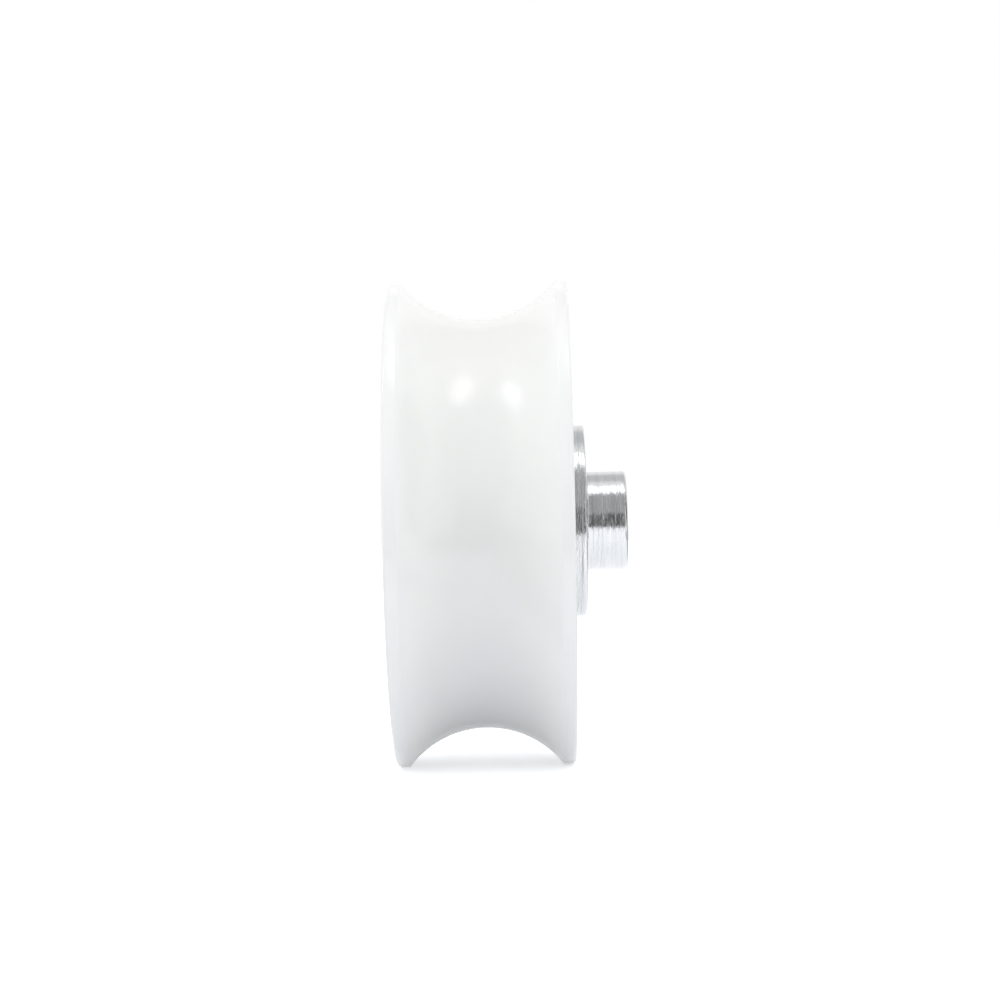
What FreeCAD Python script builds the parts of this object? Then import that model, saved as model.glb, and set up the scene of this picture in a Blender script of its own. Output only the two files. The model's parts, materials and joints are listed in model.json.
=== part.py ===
# Automatic sliding door roller: a grooved nylon wheel moulded over a shielded ball bearing,
# turning on a flanged steel axle that is screwed to the door hanger by its spigot.
#
# Millimetres. The spin axis is +Y and +Z is up. The origin is on the axis, in the middle of the tread groove.
# Inboard is the +Y side, with the flange and the spigot. Outboard is the -Y side, with the circlip.
import FreeCAD, Part
import math
import os

from FreeCAD import Vector

# Nylon wheel
wheel_diameter = 48.0
wheel_width = 17.6
groove_depth = 3.65
rim_land = 1.2            # flat rim left on each side of the groove
rim_round = 0.3           # outer corner of each rim
lip_cover = 1.6           # how far the moulded lip reaches over the face of the bearing's outer ring
recess_flare = 1.2        # how much wider the side recess is at the wheel's face than at the lip
recess_round = 0.5        # corner where the side recess meets the wheel's face

# Ball bearing
bearing_bore = 10.0
bearing_diameter = 30.0
bearing_width = 9.0
ball_diameter = 4.762
ball_spacing = 7.6        # least arc from one ball's centre to the next, on the pitch circle
ball_play = 0.04          # running clearance between a ball and the bottom of each raceway
race_curve_ratio = 0.52   # radius of the raceway groove over the ball's diameter
race_depth = 0.8          # from a ring's shoulder to the bottom of its raceway
outer_ring_chamfer = 0.5
inner_ring_chamfer = 0.4

# Pressed steel ball cage
cage_sheet = 0.5
cage_band = 2.0           # width of the ribbon, measured across the pitch circle
pocket_play = 0.15        # clearance between a ball and its pocket
rivet_shank_diameter = 0.8
rivet_head_diameter = 1.3
rivet_head_height = 0.35

# Bearing shields
shield_sheet = 0.4
shield_step = 0.3         # how far the shield's plate stands out past its seated rim
shield_rim = 0.9          # width of the rim seated in the outer ring
shield_gap = 0.25         # running gap round the inner ring
shield_clearance = 0.6    # from the cage to the inside of the shield's plate

# Flanged axle
flange_diameter = 19.2
flange_thickness = 1.5
flange_proud = 1.45       # how far the seat face stands past the wheel's inboard face
flange_edge_break = 0.2
collar_diameter = 14.0    # spaces the flange from the bearing's inner ring
spigot_diameter = 9.9
spigot_length = 4.1
spigot_chamfer = 0.35
spigot_root_round = 0.3   # where the spigot meets the seat face
axle_end_chamfer = 0.4

# Tapped hole in the spigot, drilled for an M6 screw
tap_drill_diameter = 5.0
tap_depth = 14.6
tap_mouth_diameter = 6.4
drill_point_angle = 118.0

# Circlip that holds the bearing on the axle
clip_thickness = 1.0
clip_groove_depth = 0.2
clip_groove_play = 0.1    # how much wider the groove is than the clip
clip_groove_wall = 0.9    # axle left outboard of the groove
clip_back_width = 1.8     # radial width opposite the gap
clip_end_width = 1.2      # radial width beside the gap
clip_lug_diameter = 2.8
clip_lug_hole = 1.3
clip_lug_reach = 1.6      # from the clip's inside to the lug hole's centre
clip_gap = 3.4

# Sizes that follow from those above
wheel_radius = wheel_diameter / 2
wheel_face = wheel_width / 2
groove_edge = wheel_face - rim_land
lip_radius = bearing_diameter / 2 - lip_cover
recess_radius = lip_radius + recess_flare

bearing_radius = bearing_diameter / 2
bearing_face = bearing_width / 2
journal_radius = bearing_bore / 2
pitch_radius = (bearing_radius + journal_radius) / 2
ball_radius = ball_diameter / 2
ball_count = math.floor(2 * math.pi * pitch_radius / ball_spacing)
ball_step = 360 / ball_count
race_curve = race_curve_ratio * ball_diameter
outer_race = pitch_radius + ball_radius + ball_play
inner_race = pitch_radius - ball_radius - ball_play
outer_shoulder = outer_race - race_depth
inner_shoulder = inner_race + race_depth
race_edge = math.sqrt(race_curve**2 - (race_curve - race_depth) ** 2)

pocket_radius = ball_radius + pocket_play
pocket_back = pocket_radius + cage_sheet
cage_inside = pitch_radius - cage_band / 2
cage_outside = pitch_radius + cage_band / 2

shield_plate = pocket_back + shield_clearance
shield_seat = shield_plate - shield_step
shield_radius = outer_shoulder + shield_rim
shield_bore = inner_shoulder + shield_gap

seat_face = wheel_face + flange_proud
flange_back = seat_face - flange_thickness
flange_radius = flange_diameter / 2
collar_radius = collar_diameter / 2
spigot_radius = spigot_diameter / 2
spigot_end = seat_face + spigot_length
clip_groove_end = bearing_face + clip_thickness + clip_groove_play
axle_end = clip_groove_end + clip_groove_wall
clip_seat_radius = journal_radius - clip_groove_depth
tap_radius = tap_drill_diameter / 2
tap_mouth_radius = tap_mouth_diameter / 2
tap_bottom = spigot_end - tap_depth
drill_tip = tap_bottom - tap_radius / math.tan(math.radians(drill_point_angle / 2))

CENTRE = Vector(0, 0, 0)
SPIN_AXIS = Vector(0, 1, 0)


class Arc:
    """A stretch of a half section that runs through one point to another."""

    def __init__(self, through, to):
        self.through = through
        self.to = to


def at(radius, along):
    """The point of a half section at a radius from the spin axis and a distance along it."""
    return Vector(radius, along, 0)


def turned(start, *stretches):
    """Revolves a closed half section. Each stretch is the (radius, along) that a line runs to, or an Arc."""
    edges = []
    here = start
    for stretch in [*stretches, start]:
        if isinstance(stretch, Arc):
            edges.append(Part.Arc(at(*here), at(*stretch.through), at(*stretch.to)).toShape())
            here = stretch.to
        else:
            edges.append(Part.makeLine(at(*here), at(*stretch)))
            here = stretch
    section = Part.Face(Part.Wire(edges))
    return section.revolve(CENTRE, SPIN_AXIS, 360)


def disc(radius, low, high, centre_x=0.0, centre_z=0.0):
    """A cylinder along the spin axis, from low to high, about the given centre."""
    return Part.makeCylinder(radius, high - low, Vector(centre_x, low, centre_z), SPIN_AXIS)


def ring(outside, inside, low, high):
    """A flat ring about the spin axis."""
    return disc(outside, low, high).cut(disc(inside, low, high))


def mirrored(shape):
    """The outboard twin of an inboard piece."""
    return shape.mirror(CENTRE, SPIN_AXIS)


def round_rings(shape, radius, places):
    """Rounds the circular edges that pass through the given (radius, along) places."""
    chosen = [
        edge
        for edge in shape.Edges
        for place in places
        if edge.Closed and edge.distToShape(Part.Vertex(at(*place)))[0] < Part.Precision.confusion()
    ]
    return shape.makeFillet(radius, chosen)


def radial(angle):
    """The direction square to the spin axis at an angle round it, from +X towards +Z, in degrees."""
    turn = math.radians(angle)
    return Vector(math.cos(turn), 0, math.sin(turn))


def ball_angles():
    return [number * ball_step for number in range(ball_count)]


def rivet_angles():
    return [angle + ball_step / 2 for angle in ball_angles()]


def make_tread_wheel():
    """The moulded wheel: a tread groove between two rims, and lips that trap the bearing's outer ring."""
    wheel = turned(
        (recess_radius, wheel_face),
        (wheel_radius, wheel_face),
        (wheel_radius, groove_edge),
        Arc(through=(wheel_radius - groove_depth, 0), to=(wheel_radius, -groove_edge)),
        (wheel_radius, -wheel_face),
        (recess_radius, -wheel_face),
        (lip_radius, -bearing_face),
        (bearing_radius, -bearing_face),
        (bearing_radius, bearing_face),
        (lip_radius, bearing_face),
    )
    wheel = round_rings(wheel, rim_round, [(wheel_radius, wheel_face), (wheel_radius, -wheel_face)])
    return round_rings(wheel, recess_round, [(recess_radius, wheel_face), (recess_radius, -wheel_face)])


def make_bearing_outer_ring():
    """The ring that the wheel is moulded over, with its raceway and a seat for a shield at each side."""
    chamfered_face = bearing_face - outer_ring_chamfer
    chamfered_radius = bearing_radius - outer_ring_chamfer
    return turned(
        (chamfered_radius, bearing_face),
        (bearing_radius, chamfered_face),
        (bearing_radius, -chamfered_face),
        (chamfered_radius, -bearing_face),
        (shield_radius, -bearing_face),
        (shield_radius, -shield_seat),
        (outer_shoulder, -shield_seat),
        (outer_shoulder, -race_edge),
        Arc(through=(outer_race, 0), to=(outer_shoulder, race_edge)),
        (outer_shoulder, shield_seat),
        (shield_radius, shield_seat),
        (shield_radius, bearing_face),
    )


def make_bearing_inner_ring():
    """The ring that stays still on the axle's journal."""
    chamfered_face = bearing_face - inner_ring_chamfer
    chamfered_radius = journal_radius + inner_ring_chamfer
    return turned(
        (journal_radius, chamfered_face),
        (chamfered_radius, bearing_face),
        (inner_shoulder, bearing_face),
        (inner_shoulder, race_edge),
        Arc(through=(inner_race, 0), to=(inner_shoulder, -race_edge)),
        (inner_shoulder, -bearing_face),
        (chamfered_radius, -bearing_face),
        (journal_radius, -chamfered_face),
    )


def make_bearing_ball(angle):
    return Part.makeSphere(ball_radius, radial(angle) * pitch_radius)


def pocket_cylinder(radius, angle):
    """A cylinder along a ball's radial line, long enough to cross the cage's ribbon."""
    start = cage_inside - cage_band
    return Part.makeCylinder(radius, 3 * cage_band, radial(angle) * start, radial(angle))


def make_cage_half():
    """The inboard half of the ribbon cage: flats that meet the other half, arched over each ball."""
    band = ring(cage_outside, cage_inside, 0, pocket_back)
    flats = ring(cage_outside, cage_inside, 0, cage_sheet)
    arches = [pocket_cylinder(pocket_back, angle).common(band) for angle in ball_angles()]
    pockets = [pocket_cylinder(pocket_radius, angle) for angle in ball_angles()]
    holes = []
    for angle in rivet_angles():
        place = radial(angle) * pitch_radius
        holes.append(disc(rivet_shank_diameter / 2, 0, cage_sheet, place.x, place.z))
    return flats.fuse(arches).cut(pockets + holes).removeSplitter()


def make_cage_rivets():
    """The rivets that join the cage's halves, one between each pair of balls."""
    rivets = []
    for angle in rivet_angles():
        place = radial(angle) * pitch_radius
        head_end = cage_sheet + rivet_head_height
        shank = disc(rivet_shank_diameter / 2, -head_end, head_end, place.x, place.z)
        inboard_head = disc(rivet_head_diameter / 2, cage_sheet, head_end, place.x, place.z)
        outboard_head = disc(rivet_head_diameter / 2, -head_end, -cage_sheet, place.x, place.z)
        rivets.append(shank.fuse([inboard_head, outboard_head]).removeSplitter())
    return Part.makeCompound(rivets)


def make_shield():
    """The inboard shield: a rim seated in the outer ring and a plate that steps out from it."""
    return turned(
        (shield_radius, shield_seat),
        (shield_radius, shield_seat + shield_sheet),
        (outer_shoulder, shield_seat + shield_sheet),
        (outer_shoulder - shield_step, shield_plate + shield_sheet),
        (shield_bore, shield_plate + shield_sheet),
        (shield_bore, shield_plate),
        (outer_shoulder - shield_sheet, shield_plate),
        (outer_shoulder - shield_sheet + shield_step, shield_seat),
    )


def make_axle():
    """The turned axle: spigot, flange, collar and journal, tapped from the spigot's end."""
    root_middle = spigot_root_round * (1 - math.sqrt(0.5))
    return turned(
        (tap_mouth_radius, spigot_end),
        (spigot_radius - spigot_chamfer, spigot_end),
        (spigot_radius, spigot_end - spigot_chamfer),
        (spigot_radius, seat_face + spigot_root_round),
        Arc(
            through=(spigot_radius + root_middle, seat_face + root_middle),
            to=(spigot_radius + spigot_root_round, seat_face),
        ),
        (flange_radius - flange_edge_break, seat_face),
        (flange_radius, seat_face - flange_edge_break),
        (flange_radius, flange_back + flange_edge_break),
        (flange_radius - flange_edge_break, flange_back),
        (collar_radius, flange_back),
        (collar_radius, bearing_face),
        (journal_radius, bearing_face),
        (journal_radius, -bearing_face),
        (clip_seat_radius, -bearing_face),
        (clip_seat_radius, -clip_groove_end),
        (journal_radius, -clip_groove_end),
        (journal_radius, -axle_end + axle_end_chamfer),
        (journal_radius - axle_end_chamfer, -axle_end),
        (0, -axle_end),
        (0, drill_tip),
        (tap_radius, tap_bottom),
        (tap_radius, spigot_end - (tap_mouth_radius - tap_radius)),
    )


def make_circlip():
    """The sprung ring in the axle's groove: wide at the back, with two drilled lugs beside its gap."""
    low = -bearing_face - clip_thickness
    high = -bearing_face
    outer_radius = clip_seat_radius + (clip_back_width + clip_end_width) / 2
    centre_shift = (clip_back_width - clip_end_width) / 2
    lug_circle = clip_seat_radius + clip_lug_reach
    lug_x = (clip_gap + clip_lug_diameter) / 2
    lug_z = math.sqrt(lug_circle**2 - lug_x**2)
    lugs = [disc(clip_lug_diameter / 2, low, high, side * lug_x, lug_z) for side in (-1, 1)]
    lug_holes = [disc(clip_lug_hole / 2, low, high, side * lug_x, lug_z) for side in (-1, 1)]
    seat = disc(clip_seat_radius, low, high)
    gap_length = lug_circle + clip_lug_diameter
    gap = Part.makeBox(clip_gap, clip_thickness, gap_length, Vector(-clip_gap / 2, low, 0))
    body = disc(outer_radius, low, high, centre_z=-centre_shift)
    return body.fuse(lugs).cut([seat, gap, *lug_holes]).removeSplitter()


def make_pieces():
    """Every separate piece of the roller, by name."""
    shield = make_shield()
    cage_half = make_cage_half()
    pieces = {
        "tread_wheel": make_tread_wheel(),
        "bearing_outer_ring": make_bearing_outer_ring(),
        "bearing_inner_ring": make_bearing_inner_ring(),
        "cage_half_inboard": cage_half,
        "cage_half_outboard": mirrored(cage_half),
        "cage_rivets": make_cage_rivets(),
        "shield_inboard": shield,
        "shield_outboard": mirrored(shield),
        "axle": make_axle(),
        "circlip": make_circlip(),
    }
    for number, angle in enumerate(ball_angles(), start=1):
        pieces[f"bearing_ball_{number}"] = make_bearing_ball(angle)
    return pieces


os.makedirs("parts", exist_ok=True)
for name, shape in make_pieces().items():
    shape.exportStep(f"parts/{name}.step")
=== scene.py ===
import json
import math
import random

import bmesh
import bpy
from mathutils import Matrix, Vector


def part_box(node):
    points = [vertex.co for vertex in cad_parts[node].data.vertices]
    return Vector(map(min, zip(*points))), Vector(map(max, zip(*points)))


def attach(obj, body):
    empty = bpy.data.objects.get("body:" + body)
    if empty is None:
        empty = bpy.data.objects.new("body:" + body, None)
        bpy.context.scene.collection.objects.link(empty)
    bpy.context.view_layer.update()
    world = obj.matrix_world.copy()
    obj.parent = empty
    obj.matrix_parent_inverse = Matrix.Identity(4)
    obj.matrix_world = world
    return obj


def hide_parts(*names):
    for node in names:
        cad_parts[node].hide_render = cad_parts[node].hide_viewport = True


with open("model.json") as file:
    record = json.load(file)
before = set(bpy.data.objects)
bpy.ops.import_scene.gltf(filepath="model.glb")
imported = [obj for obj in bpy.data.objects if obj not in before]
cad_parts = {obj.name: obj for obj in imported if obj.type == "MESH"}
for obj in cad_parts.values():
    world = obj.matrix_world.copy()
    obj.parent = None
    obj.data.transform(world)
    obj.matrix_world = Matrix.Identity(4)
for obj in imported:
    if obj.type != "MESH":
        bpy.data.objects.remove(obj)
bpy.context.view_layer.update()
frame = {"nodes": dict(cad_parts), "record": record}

# Dresses a sliding door roller: a white nylon wheel on a shielded ball bearing and a plated, turned axle.
# Metres. The axle lies along +Y, +Z is up, the spigot is at the inboard end, +Y, and the circlip outboard.

MM = 0.001
FULL_TURN = 2 * math.pi
ORIGIN = Vector((0, 0, 0))
AXLE_LINE = Vector((0, 1, 0))
UP = Vector((0, 0, 1))
WHITE = (1, 1, 1, 1)
BLACK = (0, 0, 0, 1)
MOUNTS = {mount["name"]: mount for mount in frame["record"]["mounts"]}

# Sizes that the frame gives. A turned piece reaches its full radius on +X.
wheel_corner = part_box("tread_wheel")[1]
WHEEL_RADIUS, WHEEL_FACE = wheel_corner.x, wheel_corner.y
TREAD_RADIUS = -MOUNTS["rail_tread"]["pos_m"][2]
bearing_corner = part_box("bearing_outer_ring")[1]
BEARING_RADIUS, BEARING_FACE = bearing_corner.x, bearing_corner.y
INNER_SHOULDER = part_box("bearing_inner_ring")[1].x
SHIELD_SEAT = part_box("shield_inboard")[0].y
SHIELD_RADIUS, SHIELD_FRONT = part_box("shield_inboard")[1].xy
axle_low, axle_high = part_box("axle")
FLANGE_RADIUS, SPIGOT_END, AXLE_END = axle_high.x, axle_high.y, axle_low.y
SEAT_FACE = MOUNTS["seat_face"]["pos_m"][1]
SPIGOT_RADIUS = MOUNTS["spigot"]["dims"]["r_mm"] * MM
THREAD_CREST = MOUNTS["fixing_thread"]["dims"]["r_mm"] * MM
THREAD_LENGTH = MOUNTS["fixing_thread"]["dims"]["length_mm"] * MM
CLIP_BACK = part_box("circlip")[0].y

# Wheel
RIM_LAND = 1.2 * MM
RIM_ROUND = 0.3 * MM
LIP_RADIUS = 13.4 * MM
LIP_ROUND = 0.15 * MM
RECESS_RADIUS = 14.6 * MM
RECESS_ROUND = 0.5 * MM

# Bearing
JOURNAL_RADIUS = 5.0 * MM
OUTER_SHOULDER = BEARING_RADIUS + JOURNAL_RADIUS - INNER_SHOULDER
RACE_DEPTH = 0.8 * MM
RACE_CURVE = 2.476 * MM
RACE_EDGE = math.sqrt(RACE_CURVE ** 2 - (RACE_CURVE - RACE_DEPTH) ** 2)
RING_ROUND = 0.45 * MM
RING_EDGE = 0.12 * MM
SHIELD_SHEET = 0.4 * MM
SHIELD_STEP = 0.3 * MM
SHIELD_BEND = 0.2 * MM
SHIELD_BORE = INNER_SHOULDER + 0.25 * MM
SHIELD_BORE_ROUND = SHIELD_SHEET / 3

# Axle. A face is an end face where more than END_FACE_NORMAL of its normal runs along the axle.
FLANGE_THICKNESS = 1.5 * MM
FLANGE_ROUND = 0.2 * MM
COLLAR_RADIUS = 7.0 * MM
SPIGOT_TIP_ROUND = 0.35 * MM
SPIGOT_ROOT_ROUND = 0.3 * MM
AXLE_END_ROUND = 0.4 * MM
CLIP_GROOVE_RADIUS = 4.8 * MM
CLIP_GROOVE_END = CLIP_BACK - 0.1 * MM
TOOL_MARK_SPACING = 0.2 * MM
TOOL_MARK_SEED = 5
ROUND_MARK_DEPTH = 0.025 * MM
END_MARK_DEPTH = 0.005 * MM
END_FACE_NORMAL = 0.7

# Thread in the spigot, M6 with a 1 mm pitch. THREAD_RUN_OUT is a share of a turn and THREAD_LEAST a share
# of the ridge's height, which stays at its ends.
THREAD_PITCH = 1.0 * MM
THREAD_ROOT = 3.0 * MM
THREAD_MOUTH = 3.2 * MM
THREAD_CREST_WIDTH = 0.25 * MM
THREAD_ROOT_WIDTH = 0.86 * MM
THREAD_SINK = 0.02 * MM
THREAD_FLOOR = SPIGOT_END - (THREAD_MOUTH - THREAD_CREST) - THREAD_LENGTH
THREAD_RUN_OUT = 0.3
THREAD_LEAST = 0.02
DRILL_TIP = 1.5 * MM

# Circlip: the burr taken off its edges, and the angles between faces that count as flat and as an edge
CLIP_BURR = 0.07 * MM
CLIP_FLAT = math.radians(1)
CLIP_EDGE = math.radians(40)

# Meshing: steps in one turn or along one arc, the shape of a round bevel, and the gap that is welded shut
WHEEL_STEPS = 288
RING_STEPS = 192
THREAD_STEPS = 48
GROOVE_STEPS = 72
RACE_STEPS = 16
ROUND_PROFILE = 0.5
WELD = 0.0005 * MM

# A half section lies in the plane of +X and +Y: out from the axle's line, and along it.
OUT, ALONG = 0, 1
ACROSS_SECTION = Vector((0, 0, 1))

# The Mix node's colour sockets share their names with those of its other types, so they go by number.
COLOUR_A, COLOUR_B, COLOUR_RESULT = 6, 7, 2

# Camera, from the photograph: its place, its turn about +Z, its tilt up and its roll, in radians
CAMERA_PLACE = Vector((249.6, 3.889, 0.784)) * MM
CAMERA_YAW = -0.0084
CAMERA_PITCH = 0.0062
CAMERA_ROLL = -0.0208
CAMERA_LENS = 89.8
CAMERA_NEAR = 10 * MM

# Studio. The soft fill from the room is brighter in front of the roller than behind it, and it changes
# between the directions whose X is minus and plus the span.
FLOOR_HEIGHT = -WHEEL_RADIUS
FLOOR_SIZE = 4.0
PAPER = "#E2E4E9"
PAPER_LIFT = 0.58
FRONT_FILL = 1.02
BACK_FILL = 0.77
FILL_SPAN = 0.8

# Cloths and mats that only mirror reflections see: centre, the way it faces, width, height and brightness
DARK, GREY, MIDDLE, PALE = 0.09, 0.41, 0.56, 0.66
MAT_HEIGHT = FLOOR_HEIGHT + MM
CLOTHS = {
    "dark_front": ((0.5, 0, 0.07), (-1, 0, 0), 0.45, 0.19, DARK),
    "dark_table": ((0.295, 0, MAT_HEIGHT), UP, 0.41, 0.45, DARK),
    "dark_side": ((0.05, 0.4, 0.15), (0, -1, 0), 0.3, 0.35, DARK),
    "grey_front": ((0.36, 0, 0.42), (-1, 0, -0.5), 0.7, 0.56, GREY),
    "pale_back": ((-0.36, 0, 0.5), (0, 0, -1), 0.46, 1.2, PALE),
    "outboard_mat": ((-0.135, -0.29, MAT_HEIGHT), UP, 0.43, 0.55, MIDDLE),
    "inboard_mat": ((-0.2, 0.32, MAT_HEIGHT), UP, 0.48, 0.55, MIDDLE),
}

# Lamp panels over the roller, one for each highlight in the tread: centre, width, height and watts
PANELS = {
    "left_panel": ((0.1, -0.29, 0.5), 0.17, 0.12, 0.206),
    "right_panel": ((0.1, 0.1, 0.5), 0.18, 0.125, 0.191),
}


def linear(hex_colour):
    """An sRGB hex colour as linear red, green, blue and alpha."""
    channels = [int(hex_colour[start:start + 2], 16) / 255 for start in (1, 3, 5)]
    return [c / 12.92 if c <= 0.04045 else ((c + 0.055) / 1.055) ** 2.4 for c in channels] + [1.0]


def add(tree, kind, sockets=None, **settings):
    """Adds a node. Sockets are its inputs by name or number, each a value or the output that feeds it."""
    node = tree.nodes.new("ShaderNode" + kind)
    for name, value in settings.items():
        setattr(node, name, value)
    for key, value in (sockets or {}).items():
        if isinstance(value, bpy.types.NodeSocket):
            tree.links.new(value, node.inputs[key])
        else:
            node.inputs[key].default_value = value
    return node


def start_material(name, constants):
    """A new material and its surface shader, with the sockets that are the same all over already set."""
    material = bpy.data.materials.new(name)
    material.use_nodes = True
    shader = material.node_tree.nodes["Principled BSDF"]
    for socket, value in constants.items():
        shader.inputs[socket].default_value = value
    return material, material.node_tree, shader


def lathe_lines(tree, spacing, unbroken):
    """Noise in lines that run round the axle, as a turning tool leaves them: their spacing, and how far each
    runs before it changes."""
    place = add(tree, "TexCoord").outputs["Object"]
    split = add(tree, "SeparateXYZ", {"Vector": place})
    flat = add(tree, "CombineXYZ", {"X": split.outputs["X"], "Y": split.outputs["Z"]})
    radius = add(tree, "VectorMath", {0: flat.outputs["Vector"]}, operation="LENGTH")
    path = add(tree, "CombineXYZ", {
        "X": radius.outputs["Value"], "Y": split.outputs["Y"], "Z": split.outputs["X"]})
    feed = add(tree, "VectorMath", {0: path.outputs["Vector"], 1: (1 / spacing, 1 / spacing, 1 / unbroken)},
               operation="MULTIPLY")
    height = add(tree, "Math", {0: split.outputs["Z"], 1: 1 / unbroken}, operation="MULTIPLY")
    noise = add(tree, "TexNoise", {
        "Vector": feed.outputs["Vector"], "W": height.outputs["Value"], "Scale": 1.0}, noise_dimensions="4D")
    return noise.outputs["Fac"]


def mottle(tree, patch):
    """Soft noise in patches of the given size."""
    place = add(tree, "TexCoord").outputs["Object"]
    return add(tree, "TexNoise", {"Vector": place, "Scale": 1 / patch, "Detail": 2.0}).outputs["Fac"]


def work_surface(tree, shader, pattern, tones, roughness=None, relief=None):
    """Gives a surface its two tones, and its range of roughness and its relief where it has them, from the
    pattern that working it left."""
    mix = add(tree, "Mix", {"Factor": pattern, COLOUR_A: linear(tones[0]), COLOUR_B: linear(tones[1])},
              data_type="RGBA")
    tree.links.new(mix.outputs[COLOUR_RESULT], shader.inputs["Base Color"])
    if roughness:
        smooth, rough = roughness
        spread = add(tree, "MapRange", {
            "Value": pattern, "From Min": 0.2, "From Max": 0.8, "To Min": smooth, "To Max": rough},
            interpolation_type="SMOOTHSTEP")
        tree.links.new(spread.outputs["Result"], shader.inputs["Roughness"])
    if relief:
        bump = add(tree, "Bump", {"Height": pattern, "Distance": relief})
        tree.links.new(bump.outputs["Normal"], shader.inputs["Normal"])


def moulded_nylon():
    """Natural nylon, moulded and then turned in the tread: a milky body that light soaks into, so that its
    thin rims glow, under a clean gloss with faint lines round it."""
    material, tree, shader = start_material("moulded_nylon", {
        "IOR": 1.53,
        "Roughness": 0.2,
        "Subsurface Weight": 1.0,
        "Subsurface Scale": 1.0,
        "Subsurface Radius": (3.2 * MM, 3.2 * MM, 3.0 * MM),
    })
    work_surface(tree, shader, mottle(tree, patch=9 * MM), ("#F2F3F1", "#F6F7F5"))
    turned = lathe_lines(tree, spacing=0.5 * MM, unbroken=30 * MM)
    lines = add(tree, "Bump", {"Height": turned, "Distance": 0.0008 * MM})
    tree.links.new(lines.outputs["Normal"], shader.inputs["Normal"])
    return material


def plated_turned_steel():
    """Mild steel turned with a coarse feed and zinc plated: bright, with uneven lines round it that break its
    reflections into streaks and specks. Faces across the axle are cut with a finer feed and are nearly
    smooth."""
    material, tree, shader = start_material("plated_turned_steel", {"Metallic": 1.0})
    streaks = lathe_lines(tree, spacing=0.3 * MM, unbroken=6 * MM)
    specks = lathe_lines(tree, spacing=0.1 * MM, unbroken=0.45 * MM)
    work_surface(tree, shader, streaks, ("#CCCED0", "#E6E7E8"))
    spread = add(tree, "MapRange", {
        "Value": specks, "From Min": 0.3, "From Max": 0.7, "To Min": 0.12, "To Max": 0.26})
    tree.links.new(spread.outputs["Result"], shader.inputs["Roughness"])
    end_face = add(tree, "Attribute", attribute_name="end_face")
    depth = add(tree, "MapRange", {"Value": end_face.outputs["Fac"], "To Min": 1.0, "To Max": 0.1})
    shallow = add(tree, "Bump", {
        "Height": specks, "Distance": 0.03 * MM, "Strength": depth.outputs["Result"]})
    deep = add(tree, "Bump", {
        "Height": streaks, "Distance": 0.05 * MM, "Strength": depth.outputs["Result"],
        "Normal": shallow.outputs["Normal"]})
    tree.links.new(deep.outputs["Normal"], shader.inputs["Normal"])
    return material


def ground_bearing_steel():
    """Hardened chromium steel, ground on every face: dense, slightly dark and even. The wheel's grit leaves
    lines a few thousandths of a millimetre apart, and they are drawn coarser here so that they show."""
    material, tree, shader = start_material("ground_bearing_steel", {"Metallic": 1.0})
    lines = lathe_lines(tree, spacing=0.25 * MM, unbroken=12 * MM)
    work_surface(tree, shader, lines, ("#B4B6B9", "#CFD0D2"), roughness=(0.14, 0.26), relief=0.002 * MM)
    return material


def pressed_shield_steel():
    """Cold-rolled sheet pressed into a shield: a pale satin, a little cloudy from the press."""
    material, tree, shader = start_material("pressed_shield_steel", {"Metallic": 1.0, "Roughness": 0.32})
    work_surface(tree, shader, mottle(tree, patch=1.6 * MM), ("#B4B5B4", "#CFD0CE"))
    return material


def phosphated_spring_steel():
    """Stamped spring steel, phosphated and oiled: nearly black, with a dull crystalline bloom. Its crystals
    are about a hundredth of a millimetre across, and they are drawn coarser here so that they show."""
    material, tree, shader = start_material("phosphated_spring_steel", {"Metallic": 0.6})
    bloom = mottle(tree, patch=0.25 * MM)
    work_surface(tree, shader, bloom, ("#262628", "#3B3B3D"), roughness=(0.36, 0.55), relief=0.004 * MM)
    return material


def lapped_ball_steel():
    """Chromium steel lapped to a mirror, under a thin film of grease."""
    material, tree, shader = start_material("lapped_ball_steel", {"Metallic": 1.0})
    grease = mottle(tree, patch=1.2 * MM)
    work_surface(tree, shader, grease, ("#BFC0C2", "#D2D3D4"), roughness=(0.05, 0.12))
    return material


def rolled_cage_strip():
    """Low-carbon steel strip, rolled, pressed and tumbled: grey and softly worn."""
    material, tree, shader = start_material("rolled_cage_strip", {"Metallic": 1.0})
    wear = mottle(tree, patch=0.5 * MM)
    work_surface(tree, shader, wear, ("#9A9A98", "#B2B2B0"), roughness=(0.3, 0.46), relief=0.003 * MM)
    return material


def section(corners, closed=True):
    """Starts a mesh with a half section, from (radius, along) corners in the plane of +X and +Y."""
    mesh = bmesh.new()
    points = [mesh.verts.new((radius, along, 0)) for radius, along in corners]
    for start, end in zip(points, points[1:]):
        mesh.edges.new((start, end))
    if closed:
        mesh.edges.new((points[-1], points[0]))
    return mesh, points


def sweep_arc(mesh, start, end, bulge, steps):
    """Joins two points of a section, at equal radius, by an arc that bulges out by that much, or in if
    negative."""
    half = (end.co.y - start.co.y) / 2
    curve = (half ** 2 + bulge ** 2) / (2 * bulge)
    centre = (start.co + end.co) / 2 + Vector((bulge - curve, 0, 0))
    bmesh.ops.spin(mesh, geom=[start], cent=centre, axis=ACROSS_SECTION, angle=2 * math.asin(half / curve),
                   steps=steps)
    bmesh.ops.remove_doubles(mesh, verts=mesh.verts, dist=WELD)


def round_corners(mesh, points, radius, segments=4):
    """Rounds some corners of a half section."""
    bmesh.ops.bevel(mesh, geom=points, offset=radius, offset_type="OFFSET", segments=segments,
                    profile=ROUND_PROFILE, affect="VERTICES", clamp_overlap=True, material=-1)


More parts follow.
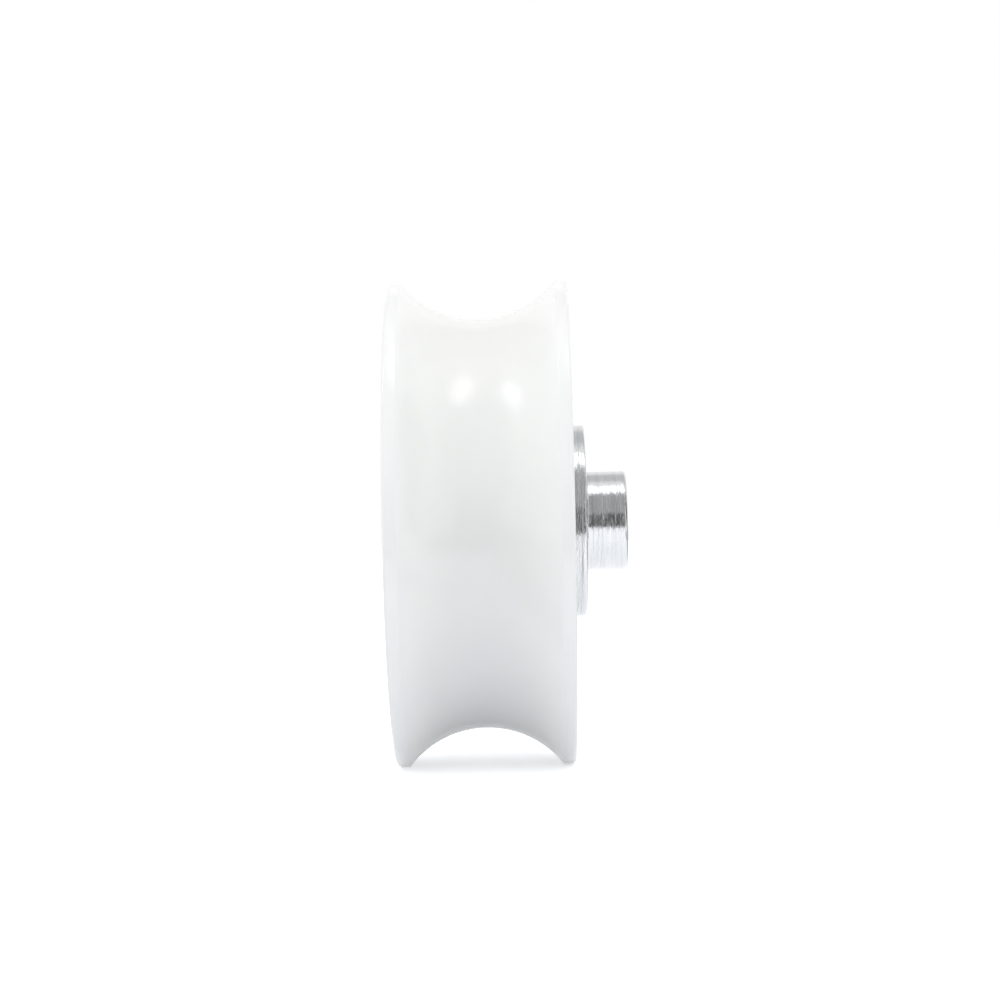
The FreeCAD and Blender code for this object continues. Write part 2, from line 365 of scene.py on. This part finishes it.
def turn(mesh, steps):
    """Spins a half section about the axle's line into a closed body."""
    bmesh.ops.spin(mesh, geom=mesh.verts[:] + mesh.edges[:], cent=ORIGIN, axis=AXLE_LINE, angle=FULL_TURN,
                   steps=steps, use_merge=True)
    bmesh.ops.remove_doubles(mesh, verts=mesh.verts, dist=WELD)
    bmesh.ops.recalc_face_normals(mesh, faces=mesh.faces)


def finished(mesh, name, material):
    """Makes a mesh a smooth-shaded object whose flat faces stay flat up to their rounded edges."""
    data = bpy.data.meshes.new(name)
    mesh.to_mesh(data)
    mesh.free()
    data.shade_smooth()
    data.materials.append(material)
    piece = bpy.data.objects.new(name, data)
    bpy.context.scene.collection.objects.link(piece)
    even = piece.modifiers.new("even_shading", "WEIGHTED_NORMAL")
    even.mode = "FACE_AREA"
    return piece


def fit(piece, body, slot, *nodes):
    """Puts a piece on its body, in the place of the nodes that it stands for."""
    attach(piece, body)
    if nodes:
        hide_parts(*nodes)


def make_wheel(material):
    """The nylon wheel, with its tread groove and a lip at each side that holds the bearing."""
    groove_edge = WHEEL_FACE - RIM_LAND
    mesh, points = section([
        (WHEEL_RADIUS, groove_edge),
        (WHEEL_RADIUS, WHEEL_FACE),
        (RECESS_RADIUS, WHEEL_FACE),
        (LIP_RADIUS, BEARING_FACE),
        (BEARING_RADIUS, BEARING_FACE),
        (BEARING_RADIUS, -BEARING_FACE),
        (LIP_RADIUS, -BEARING_FACE),
        (RECESS_RADIUS, -WHEEL_FACE),
        (WHEEL_RADIUS, -WHEEL_FACE),
        (WHEEL_RADIUS, -groove_edge),
    ], closed=False)
    groove_inboard, rim_inboard, mouth_inboard, lip_inboard = points[:4]
    lip_outboard, mouth_outboard, rim_outboard, groove_outboard = points[-4:]
    sweep_arc(mesh, groove_outboard, groove_inboard, TREAD_RADIUS - WHEEL_RADIUS, GROOVE_STEPS)
    round_corners(mesh, [rim_inboard, rim_outboard], RIM_ROUND, segments=6)
    round_corners(mesh, [mouth_inboard, mouth_outboard], RECESS_ROUND, segments=6)
    round_corners(mesh, [lip_inboard, lip_outboard], LIP_ROUND)
    turn(mesh, WHEEL_STEPS)
    return finished(mesh, "nylon_wheel", material)


def mark_with_tool(mesh, direction, place, depth, chance):
    """Cuts the section's line at one place, OUT from the axle or ALONG it, into short steps, and sinks each
    by a different amount up to the depth, as a feeding tool does."""
    line = [edge for edge in mesh.edges if all(abs(end.co[direction] - place) < WELD for end in edge.verts)]
    cuts = int(line[0].calc_length() / TOOL_MARK_SPACING)
    for step in bmesh.ops.subdivide_edges(mesh, edges=line, cuts=cuts)["geom_inner"]:
        step.co[direction] -= math.copysign(chance.uniform(0, depth), place)


def make_axle(material):
    """The axle in one piece, from the spigot's tapped end to the outboard end."""
    flange_back = SEAT_FACE - FLANGE_THICKNESS
    mesh, points = section([
        (THREAD_MOUTH, SPIGOT_END),
        (SPIGOT_RADIUS, SPIGOT_END),
        (SPIGOT_RADIUS, SEAT_FACE),
        (FLANGE_RADIUS, SEAT_FACE),
        (FLANGE_RADIUS, flange_back),
        (COLLAR_RADIUS, flange_back),
        (COLLAR_RADIUS, BEARING_FACE),
        (JOURNAL_RADIUS, BEARING_FACE),
        (JOURNAL_RADIUS, -BEARING_FACE),
        (CLIP_GROOVE_RADIUS, -BEARING_FACE),
        (CLIP_GROOVE_RADIUS, CLIP_GROOVE_END),
        (JOURNAL_RADIUS, CLIP_GROOVE_END),
        (JOURNAL_RADIUS, AXLE_END),
        (0, AXLE_END),
        (0, THREAD_FLOOR - DRILL_TIP),
        (THREAD_ROOT, THREAD_FLOOR),
        (THREAD_ROOT, SPIGOT_END - (THREAD_MOUTH - THREAD_ROOT)),
    ])
    _, spigot_tip, spigot_root, flange_front, flange_rear, *_, tail, _, _, _, _ = points
    round_corners(mesh, [spigot_tip], SPIGOT_TIP_ROUND)
    round_corners(mesh, [spigot_root], SPIGOT_ROOT_ROUND)
    round_corners(mesh, [flange_front, flange_rear], FLANGE_ROUND)
    round_corners(mesh, [tail], AXLE_END_ROUND)
    chance = random.Random(TOOL_MARK_SEED)
    for radius in (SPIGOT_RADIUS, FLANGE_RADIUS):
        mark_with_tool(mesh, OUT, radius, ROUND_MARK_DEPTH, chance)
    for end in (SEAT_FACE, SPIGOT_END, AXLE_END):
        mark_with_tool(mesh, ALONG, end, END_MARK_DEPTH, chance)
    turn(mesh, RING_STEPS)
    end_face = mesh.faces.layers.float.new("end_face")
    for face in mesh.faces:
        face[end_face] = float(abs(face.normal.y) > END_FACE_NORMAL)
    return finished(mesh, "turned_axle", material)


def make_thread(material):
    """The spigot's screw thread: one right-hand ridge wound up the bore, which runs out at each end over part
    of a turn."""
    turns = int(THREAD_LENGTH / THREAD_PITCH)
    wall = THREAD_ROOT + THREAD_SINK
    start = THREAD_FLOOR + THREAD_PITCH / 2
    mesh, _ = section([
        (wall, start - THREAD_ROOT_WIDTH / 2),
        (THREAD_CREST, start - THREAD_CREST_WIDTH / 2),
        (THREAD_CREST, start + THREAD_CREST_WIDTH / 2),
        (wall, start + THREAD_ROOT_WIDTH / 2),
    ])
    bmesh.ops.spin(mesh, geom=mesh.verts[:] + mesh.edges[:], cent=ORIGIN, axis=AXLE_LINE,
                   dvec=AXLE_LINE * THREAD_PITCH / THREAD_STEPS, angle=turns * FULL_TURN,
                   steps=turns * THREAD_STEPS)
    for point in mesh.verts:
        swept = math.atan2(-point.co.z, point.co.x) / FULL_TURN
        wound = swept + round((point.co.y - start) / THREAD_PITCH - swept)
        height = max(THREAD_LEAST, min(1, wound / THREAD_RUN_OUT, (turns - wound) / THREAD_RUN_OUT))
        radius = math.hypot(point.co.x, point.co.z)
        pull = (wall - height * (wall - radius)) / radius
        point.co.x, point.co.z = pull * point.co.x, pull * point.co.z
    bmesh.ops.holes_fill(mesh, edges=mesh.edges)
    bmesh.ops.recalc_face_normals(mesh, faces=mesh.faces)
    return finished(mesh, "spigot_thread", material)


def make_outer_ring(material):
    """The bearing's outer ring, with the balls' raceway inside it and a seat for a shield at each side."""
    mesh, points = section([
        (OUTER_SHOULDER, RACE_EDGE),
        (OUTER_SHOULDER, SHIELD_SEAT),
        (SHIELD_RADIUS, SHIELD_SEAT),
        (SHIELD_RADIUS, BEARING_FACE),
        (BEARING_RADIUS, BEARING_FACE),
        (BEARING_RADIUS, -BEARING_FACE),
        (SHIELD_RADIUS, -BEARING_FACE),
        (SHIELD_RADIUS, -SHIELD_SEAT),
        (OUTER_SHOULDER, -SHIELD_SEAT),
        (OUTER_SHOULDER, -RACE_EDGE),
    ], closed=False)
    race_inboard, _, _, mouth_inboard, rim_inboard = points[:5]
    rim_outboard, mouth_outboard, _, _, race_outboard = points[-5:]
    sweep_arc(mesh, race_outboard, race_inboard, RACE_DEPTH, RACE_STEPS)
    round_corners(mesh, [rim_inboard, rim_outboard], RING_ROUND)
    round_corners(mesh, [mouth_inboard, mouth_outboard], RING_EDGE, segments=3)
    turn(mesh, RING_STEPS)
    return finished(mesh, "outer_ring", material)


def make_inner_ring(material):
    """The bearing's inner ring, with the balls' raceway round it."""
    mesh, points = section([
        (INNER_SHOULDER, RACE_EDGE),
        (INNER_SHOULDER, BEARING_FACE),
        (JOURNAL_RADIUS, BEARING_FACE),
        (JOURNAL_RADIUS, -BEARING_FACE),
        (INNER_SHOULDER, -BEARING_FACE),
        (INNER_SHOULDER, -RACE_EDGE),
    ], closed=False)
    race_inboard, shoulder_inboard, bore_inboard = points[:3]
    bore_outboard, shoulder_outboard, race_outboard = points[-3:]
    sweep_arc(mesh, race_outboard, race_inboard, -RACE_DEPTH, RACE_STEPS)
    round_corners(mesh, [bore_inboard, bore_outboard], RING_ROUND)
    round_corners(mesh, [shoulder_inboard, shoulder_outboard], RING_EDGE, segments=3)
    turn(mesh, RING_STEPS)
    return finished(mesh, "inner_ring", material)


def make_shield(name, side, material):
    """A pressed shield, with side 1 inboard and -1 outboard."""
    back = SHIELD_FRONT - SHIELD_SHEET
    mesh, points = section([
        (SHIELD_RADIUS, side * SHIELD_SEAT),
        (SHIELD_RADIUS, side * (SHIELD_SEAT + SHIELD_SHEET)),
        (OUTER_SHOULDER, side * (SHIELD_SEAT + SHIELD_SHEET)),
        (OUTER_SHOULDER - SHIELD_STEP, side * SHIELD_FRONT),
        (SHIELD_BORE, side * SHIELD_FRONT),
        (SHIELD_BORE, side * back),
        (OUTER_SHOULDER - SHIELD_SHEET, side * back),
        (OUTER_SHOULDER - SHIELD_SHEET + SHIELD_STEP, side * SHIELD_SEAT),
    ])
    _, _, low_front, high_front, bore_front, _, high_back, low_back = points
    round_corners(mesh, [low_front, high_front, high_back, low_back], SHIELD_BEND)
    round_corners(mesh, [bore_front], SHIELD_BORE_ROUND, segments=3)
    turn(mesh, RING_STEPS)
    return finished(mesh, name, material)


def make_circlip(material):
    """The stamped clip, with the burr taken off its edges."""
    mesh = bmesh.new()
    mesh.from_mesh(frame["nodes"]["circlip"].data)
    bmesh.ops.remove_doubles(mesh, verts=mesh.verts, dist=WELD)
    bmesh.ops.dissolve_limit(mesh, angle_limit=CLIP_FLAT, verts=mesh.verts, edges=mesh.edges)
    edges = [edge for edge in mesh.edges if edge.calc_face_angle(0) > CLIP_EDGE]
    bmesh.ops.bevel(mesh, geom=edges, offset=CLIP_BURR, offset_type="OFFSET", segments=2,
                    profile=ROUND_PROFILE, affect="EDGES", clamp_overlap=True, material=-1)
    bmesh.ops.recalc_face_normals(mesh, faces=mesh.faces)
    return finished(mesh, "spring_clip", material)


def dress_inside(ball_steel, cage_strip):
    """The balls, cage and rivets keep their shapes behind the shields."""
    for name, node in frame["nodes"].items():
        if name.startswith(("bearing_ball", "cage")):
            node.data.materials.clear()
            node.data.materials.append(ball_steel if name.startswith("bearing_ball") else cage_strip)


def make_roller():
    """Makes every piece and fits it to its body."""
    plated_steel = plated_turned_steel()
    bearing_steel = ground_bearing_steel()
    shield_steel = pressed_shield_steel()
    fit(make_wheel(moulded_nylon()), "wheel", "nylon", "tread_wheel")
    fit(make_axle(plated_steel), "axle", "plated_steel", "axle")
    fit(make_thread(plated_steel), "axle", "plated_steel")
    fit(make_outer_ring(bearing_steel), "wheel", "bearing_steel", "bearing_outer_ring")
    fit(make_inner_ring(bearing_steel), "axle", "bearing_steel", "bearing_inner_ring")
    fit(make_shield("inboard_shield", 1, shield_steel), "wheel", "shield_steel", "shield_inboard")
    fit(make_shield("outboard_shield", -1, shield_steel), "wheel", "shield_steel", "shield_outboard")
    fit(make_circlip(phosphated_spring_steel()), "axle", "spring_steel", "circlip")
    dress_inside(lapped_ball_steel(), rolled_cage_strip())


def make_card(name, centre, facing, width, height, material):
    """A flat sheet of the studio."""
    mesh = bmesh.new()
    turn_to_face = facing.to_track_quat("Z", "Y").to_matrix().to_4x4()
    stretch = Matrix.Diagonal((width / 2, height / 2, 1, 1))
    bmesh.ops.create_grid(mesh, x_segments=1, y_segments=1, size=1,
                          matrix=Matrix.Translation(centre) @ turn_to_face @ stretch)
    data = bpy.data.meshes.new(name)
    mesh.to_mesh(data)
    mesh.free()
    data.materials.append(material)
    card = bpy.data.objects.new(name, data)
    bpy.context.scene.collection.objects.link(card)
    return card


def seen_directly(tree):
    """1 where a surface is seen straight, in a reflection or through another, and 0 for soft light."""
    path = add(tree, "LightPath")
    seen = path.outputs["Is Camera Ray"]
    for ray in ("Is Glossy Ray", "Is Transmission Ray"):
        seen = add(tree, "Math", {0: seen, 1: path.outputs[ray]}, operation="MAXIMUM").outputs["Value"]
    return seen


def white_paper():
    """Matt paper under the roller. It is lifted to white where it is seen, apart from the roller's shadow."""
    material, tree, shader = start_material("white_paper", {
        "Base Color": linear(PAPER), "Roughness": 0.9, "Emission Color": WHITE})
    lift = add(tree, "Math", {0: seen_directly(tree), 1: PAPER_LIFT}, operation="MULTIPLY")
    tree.links.new(lift.outputs["Value"], shader.inputs["Emission Strength"])
    return material


def even_cloth(name, brightness):
    """Cloth of an even brightness."""
    material, _, _ = start_material(name, {
        "Base Color": BLACK,
        "Specular IOR Level": 0,
        "Emission Color": WHITE,
        "Emission Strength": brightness,
    })
    return material


def make_panel(name, centre, width, height, watts):
    """A soft lamp panel that faces the roller."""
    place = Vector(centre)
    lamp = bpy.data.lights.new(name, "AREA")
    lamp.shape = "RECTANGLE"
    lamp.size, lamp.size_y, lamp.energy = width, height, watts
    panel = bpy.data.objects.new(name, lamp)
    panel.matrix_world = Matrix.Translation(place) @ (-place).to_track_quat("-Z", "X").to_matrix().to_4x4()
    bpy.context.scene.collection.objects.link(panel)


def hang_cloth(name, centre, facing, width, height, brightness):
    """A cloth that only mirror reflections see. It gives the steel its dark and bright bands."""
    cloth = make_card(name, Vector(centre), Vector(facing), width, height, even_cloth(name, brightness))
    cloth.visible_camera = False
    cloth.visible_diffuse = False
    cloth.visible_shadow = False


def light_studio():
    """Lays the floor, and hangs the cloths and the lamp panels."""
    make_card("floor", UP * FLOOR_HEIGHT, UP, FLOOR_SIZE, FLOOR_SIZE, white_paper())
    for name, cloth in CLOTHS.items():
        hang_cloth(name, *cloth)
    for name, panel in PANELS.items():
        make_panel(name, *panel)


def light_room():
    """A white room. Where it is seen it is white, and the soft fill from it falls off from front to back."""
    world = bpy.data.worlds.new("white_room")
    bpy.context.scene.world = world
    world.use_nodes = True
    tree = world.node_tree
    direction = add(tree, "SeparateXYZ", {"Vector": add(tree, "TexCoord").outputs["Generated"]})
    falling = add(tree, "MapRange", {
        "Value": direction.outputs["X"], "From Min": -FILL_SPAN, "From Max": FILL_SPAN,
        "To Min": BACK_FILL, "To Max": FRONT_FILL})
    fill = add(tree, "Background", {"Color": WHITE, "Strength": falling.outputs["Result"]})
    white = tree.nodes["Background"]
    white.inputs["Color"].default_value = WHITE
    room = add(tree, "MixShader", {
        0: seen_directly(tree), 1: fill.outputs["Background"], 2: white.outputs["Background"]})
    tree.links.new(room.outputs["Shader"], tree.nodes["World Output"].inputs["Surface"])


def place_camera():
    """Stands the camera where the photograph was taken from, level with the axle and square to it."""
    ahead = Vector((-math.cos(CAMERA_YAW) * math.cos(CAMERA_PITCH),
                    math.sin(CAMERA_YAW) * math.cos(CAMERA_PITCH),
                    math.sin(CAMERA_PITCH)))
    right = ahead.cross(UP).normalized()
    above = right.cross(ahead)
    rolled_right = right * math.cos(CAMERA_ROLL) + above * math.sin(CAMERA_ROLL)
    rolled_above = above * math.cos(CAMERA_ROLL) - right * math.sin(CAMERA_ROLL)
    lens = bpy.data.cameras.new("camera")
    lens.lens = CAMERA_LENS
    lens.clip_start = CAMERA_NEAR
    camera = bpy.data.objects.new("camera", lens)
    axes = Matrix((rolled_right, rolled_above, -ahead)).transposed().to_4x4()
    camera.matrix_world = Matrix.Translation(CAMERA_PLACE) @ axes
    bpy.context.scene.collection.objects.link(camera)
    bpy.context.scene.camera = camera


make_roller()
light_studio()
light_room()
place_camera()
bpy.context.scene.view_settings.view_transform = "Standard"
